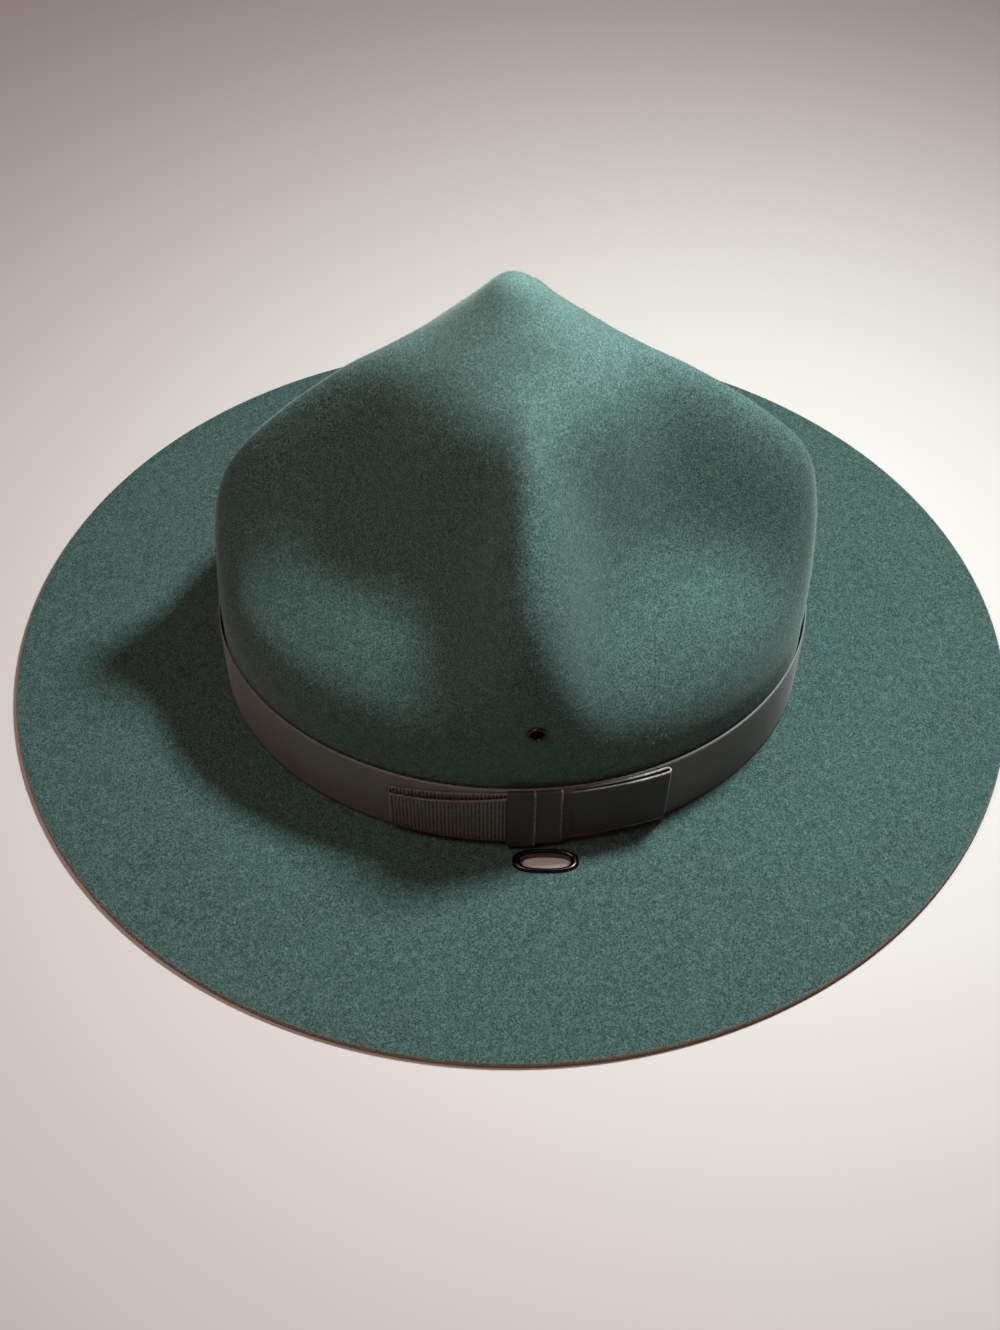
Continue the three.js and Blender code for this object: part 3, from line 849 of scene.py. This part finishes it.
def table_way(table, steps):
    """A smooth way through a table's rows, as columns of metres."""
    rows = np.array(table, float) * MM
    padded_rows = np.vstack([2 * rows[0] - rows[1], rows, 2 * rows[-1] - rows[-2]])
    place = np.linspace(0, len(rows) - 1, steps)
    first = np.minimum(place.astype(int), len(rows) - 2)
    share = (place - first)[:, None]
    before, here, after, beyond = (padded_rows[first + k] for k in range(4))
    square = 2 * before - 5 * here + 4 * after - beyond
    cubic = 3 * here - before - 3 * after + beyond
    return 0.5 * (2 * here + (after - before) * share + square * share**2 + cubic * share**3)


def fold_way(start, end, outwards, steps=9):
    """Half a turn from one layer's end to the other's start. outwards is +1 to the rear."""
    turn = np.linspace(0, np.pi, steps + 2)[1:-1, None]
    middle, half = (start + end) / 2, (end - start) / 2
    way = middle - half * np.cos(turn)
    way[:, 0] += outwards * np.sin(turn[:, 0]) * max(half[3], half[4])
    return way


def bow_loop(name, back, face, outwards, steps, finish, rib_height):
    """A folded loop: the back layer out, the fold, and the face layer home."""
    back_way, face_way = table_way(back, steps), table_way(face, steps)
    way = np.vstack([back_way, fold_way(back_way[-1], face_way[0], outwards), face_way])
    rear, bottom, top, low, high = way.T
    grid = ribbon_on_crown(angle_at(rear), bottom, top, band_face + low, band_face + high)
    return ribbon_strip(name, grid, finish, rib_height)


front_loop = bow_loop("ribbon_bow_front", front_loop_back, front_loop_face,
                      -1, 230, loop_finish, 0.14 * MM)
rear_loop = bow_loop("ribbon_bow_rear", rear_loop_back, rear_loop_face,
                     1, 200, rear_loop_finish, 0.03 * MM)

# %% [markdown]
# ## The knot
# The knot is one more length of the ribbon, pressed into three overlapping pleats and wrapped
# upright over both loops, with its ends tucked in behind them. A table gives the way across the
# pleats: out to a crease, back under it, and out again. Each point of that way is then carried
# round the same wrap, from behind the loops over their top, down the face and under.

# %% The way across the pleats
# Each row is (rear, stand, bottom, top) in millimetres
knot_way = [
    (-1.6, 2.95, 1.9, 33),
    (7.3, 3, 1.9, 33),
    (7.7, 2.86, 1.95, 33),
    (7.3, 2.72, 2, 33),
    (4.7, 2.66, 2, 33),
    (4.3, 2.53, 2.05, 32.95),
    (4.7, 2.4, 2.1, 32.9),
    (16, 2.4, 2.1, 32.9),
    (16.4, 2.27, 2.6, 32.8),
    (16, 2.14, 3.2, 32.7),
    (13.7, 2.08, 3.6, 32.6),
    (13.3, 1.96, 4, 32.5),
    (13.7, 1.85, 4.4, 32.4),
    (20.2, 1.85, 4.6, 32.4),
]


def way_across(table, steps):
    """Even steps along a table's way, with every corner of it kept, in metres."""
    rows = np.array(table, float) * MM
    lengths = np.concatenate([[0], np.cumsum(np.linalg.norm(np.diff(rows[:, :2], axis=0), axis=1))])
    at = np.unique(np.concatenate([lengths, np.linspace(0, lengths[-1], steps)]))
    way = np.stack([np.interp(at, lengths, rows[:, k]) for k in range(rows.shape[1])], 1)
    creases = [int(np.searchsorted(at, lengths[k])) for k in (2, 8)]
    return way, creases, lengths[-1]


knot_across, knot_creases, knot_width = way_across(knot_way, 40)
print(f"the knot's ribbon is {1000 * knot_width:.1f} mm wide")


# %% Wrap it round the loops
def wrap_profile(stand, bottom, top, steps=80):
    """Stands and heights of the wrap in even steps, from the upper to the lower tucked-in end."""
    turn_in, corner, behind = 2 * MM, 0.5 * MM, 0.9 * MM
    up = [(behind, top - corner), (behind + 0.4 * MM, top - 0.1 * MM), (stand - 0.4 * MM, top)]
    face = [(stand, top - corner), (stand, (top + bottom) / 2), (stand, bottom + corner)]
    down = [(stand - 0.4 * MM, bottom), (behind + 0.4 * MM, bottom + 0.1 * MM), (behind, bottom + corner)]
    path = np.array([(behind, top - turn_in), *up, *face, *down, (behind, bottom + turn_in)])
    lengths = np.concatenate([[0], np.cumsum(np.linalg.norm(np.diff(path, axis=0), axis=1))])
    at = np.linspace(0, lengths[-1], steps)
    return np.interp(at, lengths, path[:, 0]), np.interp(at, lengths, path[:, 1])


def wrapped_knot(steps=80):
    grid = np.empty((steps, len(knot_across), 3))
    for k, (rear, stand, bottom, top) in enumerate(knot_across):
        stands, heights = wrap_profile(stand, bottom, top, steps)
        angles = np.full(steps, float(angle_at(rear)))
        grid[:, k] = on_crown(angles, heights, band_face - loop_gap + stands)
    return grid


knot = ribbon_strip("ribbon_knot", wrapped_knot(), knot_finish, 0.03 * MM,
                    thickness=0.2 * MM, creases=knot_creases)

# %% [markdown]
# ## Eyelets and slot grommets
# The metal parts are pressed: a short barrel goes through the felt and its rim is rolled over.
# A lathe gives the round eyelet. The oblong grommet is the same idea with an oblong in place of
# the circle, so both are made from one section of (how far in, how high) and rings of points.

# %% Skin of a ring
def ring_skin(name, rings, finish):
    """A closed ring-shaped skin. The last ring meets the first."""
    count = len(rings[0])
    points = [Vector(point) for ring in rings for point in ring]
    faces = grid_faces(len(rings), count, closed_across=True)
    last = (len(rings) - 1) * count
    faces += [(last + k, k, (k + 1) % count, last + (k + 1) % count) for k in range(count)]
    made = mesh_object(name, points, faces)
    made.data.materials.append(finish)
    return made


# %% [markdown]
# ## Enamelled metal
# Eyelets are brass and grommets steel, both dipped in a dark enamel and baked. The enamel wears
# through on the rolled edges first. The shader is a metal that the enamel tints, with bare
# metal on the sharpest edges.


# %% Enamel
def enamelled_metal(name, colour, roughness):
    """Pressed metal under dark enamel, which gives a dark gloss with small sharp glints where it
    is worn to bare metal along its edges."""
    material, tree = new_material(name)
    place = add_node(tree, "ShaderNodeTexCoord").outputs["Object"]
    wear_and_highlight = add_node(tree, NOISE, {"Scale": 1 / (1.5 * MM), "Detail": 4}, {"Vector": place}).outputs["Fac"]
    pointed = add_node(tree, "ShaderNodeNewGeometry").outputs["Pointiness"]
    edges = add_node(tree, RANGE, {1: 0.52, 2: 0.62}, {0: pointed})
    share = add_node(tree, MATH, {"operation": "MULTIPLY"}, {0: edges.outputs[0], 1: wear_and_highlight})
    tone = add_node(tree, MIX, {"data_type": "RGBA", 6: linear(colour), 7: linear("B7B1AC")},
                    {0: share.outputs[0]})
    polish = add_node(tree, RANGE, {3: roughness - 0.08, 4: roughness + 0.12}, {0: wear_and_highlight})
    shader = add_node(tree, "ShaderNodeBsdfPrincipled", {"Metallic": 1.0},
                      {"Base Color": tone.outputs[2], "Roughness": polish.outputs[0]})
    add_node(tree, "ShaderNodeOutputMaterial", {}, {"Surface": shader.outputs["BSDF"]})
    return material


slot_finish = enamelled_metal("maroon_enamelled_steel", "3E3033", 0.2)
eyelet_finish = enamelled_metal("dark_enamelled_brass", "3B3A34", 0.4)
print("enamel nodes:", len(slot_finish.node_tree.nodes))

# %% Rolled rims
barrel_end, slot_barrel_foot = 0.5 * MM, 0.35 * MM
eyelet_rise, slot_rise = 0.55 * MM, 1.1 * MM


def rim_section(outer, hole, barrel, foot, seat, rise):
    """A rolled rim and its barrel as (distance from the hole's middle, height) pairs."""
    middle, half = (outer + hole) / 2, (outer - hole) / 2
    turns = np.radians(np.linspace(0, 180, 17))
    roll = [(middle + half * math.cos(turn), seat + rise * math.sin(turn)) for turn in turns]
    return [*roll, (hole, foot), (barrel, foot), (barrel, seat)]


def vent_eyelet(word, side):
    turns = np.arange(64) / 64 * 2 * np.pi
    section = rim_section(eyelet_flange_radius, eyelet_hole_radius, eyelet_barrel_radius,
                          -crown_wall - barrel_end, 0.1 * MM, eyelet_rise)
    turned = eyelet_frame(side)
    rings = []
    for radius, height in section:
        circle = [Vector((radius * math.cos(turn), radius * math.sin(turn), height)) for turn in turns]
        rings.append([turned @ point for point in circle])
    return ring_skin(f"metal_vent_eyelet_{word}", rings[::-1], eyelet_finish)


def strap_slot(word, side):
    turns = np.arange(120) / 120 * 2 * np.pi * side
    barrel_share = 1.0 - 0.5 / 1.75
    section = rim_section(0.0, 1.0, barrel_share, slot_barrel_foot,
                          brim_thickness + 0.05 * MM, slot_rise)
    rings = []
    for share, height in section:
        half_sizes = [o + (h - o) * share for o, h in zip(slot_outer, slot_hole)]
        rings.append([(x, y, height) for x, y in slot_oval(half_sizes, side, turns)])
    return ring_skin(f"metal_strap_slot_{word}", rings, slot_finish)


eyelets = {word: vent_eyelet(word, side) for word, side in sides.items()}
slots = {word: strap_slot(word, side) for word, side in sides.items()}
for made in (*eyelets.values(), *slots.values()):
    print(f"{made.name}: {count_triangles(made)} triangles")

# %% [markdown]
# ## Floor, light and camera
# The hat rests on its brim on a plain pale floor. The main lamp hangs close above the hat's
# rear, so the light is strongest there and on the peak and fades towards the front. A weak one
# nearer to the camera and a faint warm surrounding light open the shadows. The camera looks
# down on the hat's left side.

# %% Floor
def floor_finish():
    """Pale matt board, which gives the hat a calm ground and soft contact shadows."""
    material, tree = new_material("pale_floor")
    shader = add_node(tree, "ShaderNodeBsdfPrincipled",
                      {"Base Color": linear("CFCDC9"), "Roughness": 0.9, "Specular IOR Level": 0.2})
    add_node(tree, "ShaderNodeOutputMaterial", {}, {"Surface": shader.outputs["BSDF"]})
    return material


floor_half = 6.0
corners = [(x * floor_half, y * floor_half, 0) for x, y in ((-1, -1), (1, -1), (1, 1), (-1, 1))]
floor = mesh_object("floor", corners, [(0, 1, 2, 3)], smooth=False)
floor.data.materials.append(floor_finish())
print(f"floor {2 * floor_half:.0f} m wide")


# %% Lamps and surrounding light
def soft_lamp(name, place, size, power, colour):
    """A round lamp at a place in metres that faces the crown. The camera doesn't see it."""
    lamp = bpy.data.lights.new(name, "AREA")
    lamp.shape = "DISK"
    lamp.size = size
    lamp.energy = power
    lamp.color = colour
    made = bpy.data.objects.new(name, lamp)
    bpy.context.scene.collection.objects.link(made)
    place = Vector(place)
    away = place - Vector((0, 0, 80 * MM))
    made.matrix_world = Matrix.Translation(place) @ away.to_track_quat("Z", "Y").to_matrix().to_4x4()
    made.visible_camera = False
    print(f"{name}: {power} W, {away.length:.2f} m from the crown")


soft_lamp("key_lamp", (-0.045, 0.155, 0.45), 0.075, 3.2, (0.93, 1.0, 1.0))
soft_lamp("near_lamp", (0.11, -0.11, 0.4), 0.14, 0.42, (1.0, 0.8, 0.73))
world = bpy.data.worlds.new("studio")
bpy.context.scene.world = world
world.use_nodes = True
world.node_tree.nodes["Background"].inputs["Color"].default_value = linear("FFA898")
world.node_tree.nodes["Background"].inputs["Strength"].default_value = 0.14
bpy.context.scene.view_settings.view_transform = "Standard"

# %% Camera
image_height = 1330
focal_pixels = 1508.3
camera_place = Vector((342.26 * MM, -4.2 * MM, 452.6 * MM))
camera_dip = math.radians(53.58)
camera_roll = math.radians(0.27)
camera_data = bpy.data.cameras.new("camera")
camera_data.sensor_fit = "AUTO"
camera_data.sensor_width = 36
camera_data.lens = focal_pixels / image_height * camera_data.sensor_width
camera_data.clip_start = 0.01
camera = bpy.data.objects.new("camera", camera_data)
bpy.context.scene.collection.objects.link(camera)
ahead = Vector((-math.cos(camera_dip), 0, -math.sin(camera_dip)))
rightwards = Vector((0, 1, 0))
turned = Matrix((rightwards, rightwards.cross(ahead), -ahead)).transposed()
turned = turned @ Matrix.Rotation(camera_roll, 3, "Z")
camera.matrix_world = Matrix.Translation(camera_place) @ turned.to_4x4()
bpy.context.scene.camera = camera
print(f"camera {camera_place.length:.2f} m from the hat's middle, {camera_data.lens:.1f} mm lens")

# %% [markdown]
# ## Tie the pieces to the solids
# Each piece rides on the hat's one body and names the solid that it stands for, which is hidden.
# The ribbon pieces are flat strips of cloth.

# %% Ride and replace
def stand_for(made, slot, *nodes):
    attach(made, "root")
    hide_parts(*nodes)


stand_for(felt, "felt", "felt_body")
for fibres in (crown_fibres, brim_fibres):
    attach(fibres, "root")
stand_for(band, "ribbon", "hat_band")
stand_for(front_loop, "ribbon", "bow_front")
stand_for(rear_loop, "ribbon", "bow_rear")
stand_for(knot, "ribbon", "bow_knot")
for word in sides:
    stand_for(eyelets[word], "dark_metal", f"vent_eyelet_{word}")
    stand_for(slots[word], "dark_metal", f"strap_slot_{word}")

floor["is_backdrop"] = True
pieces = (felt, crown_fibres, brim_fibres, band, front_loop, rear_loop, knot,
          *eyelets.values(), *slots.values())
print(len(pieces), "pieces with", sum(count_triangles(piece) for piece in pieces), "triangles")

# %% Compare the boxes and finish
visual_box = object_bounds()
cad_size = Vector(cad_box[1]) - Vector(cad_box[0])
visual_size = Vector(visual_box[1]) - Vector(visual_box[0])
grown = [round(1000 * more, 2) for more in visual_size - cad_size]
print("visual box is larger than the solids' by", grown, "mm")
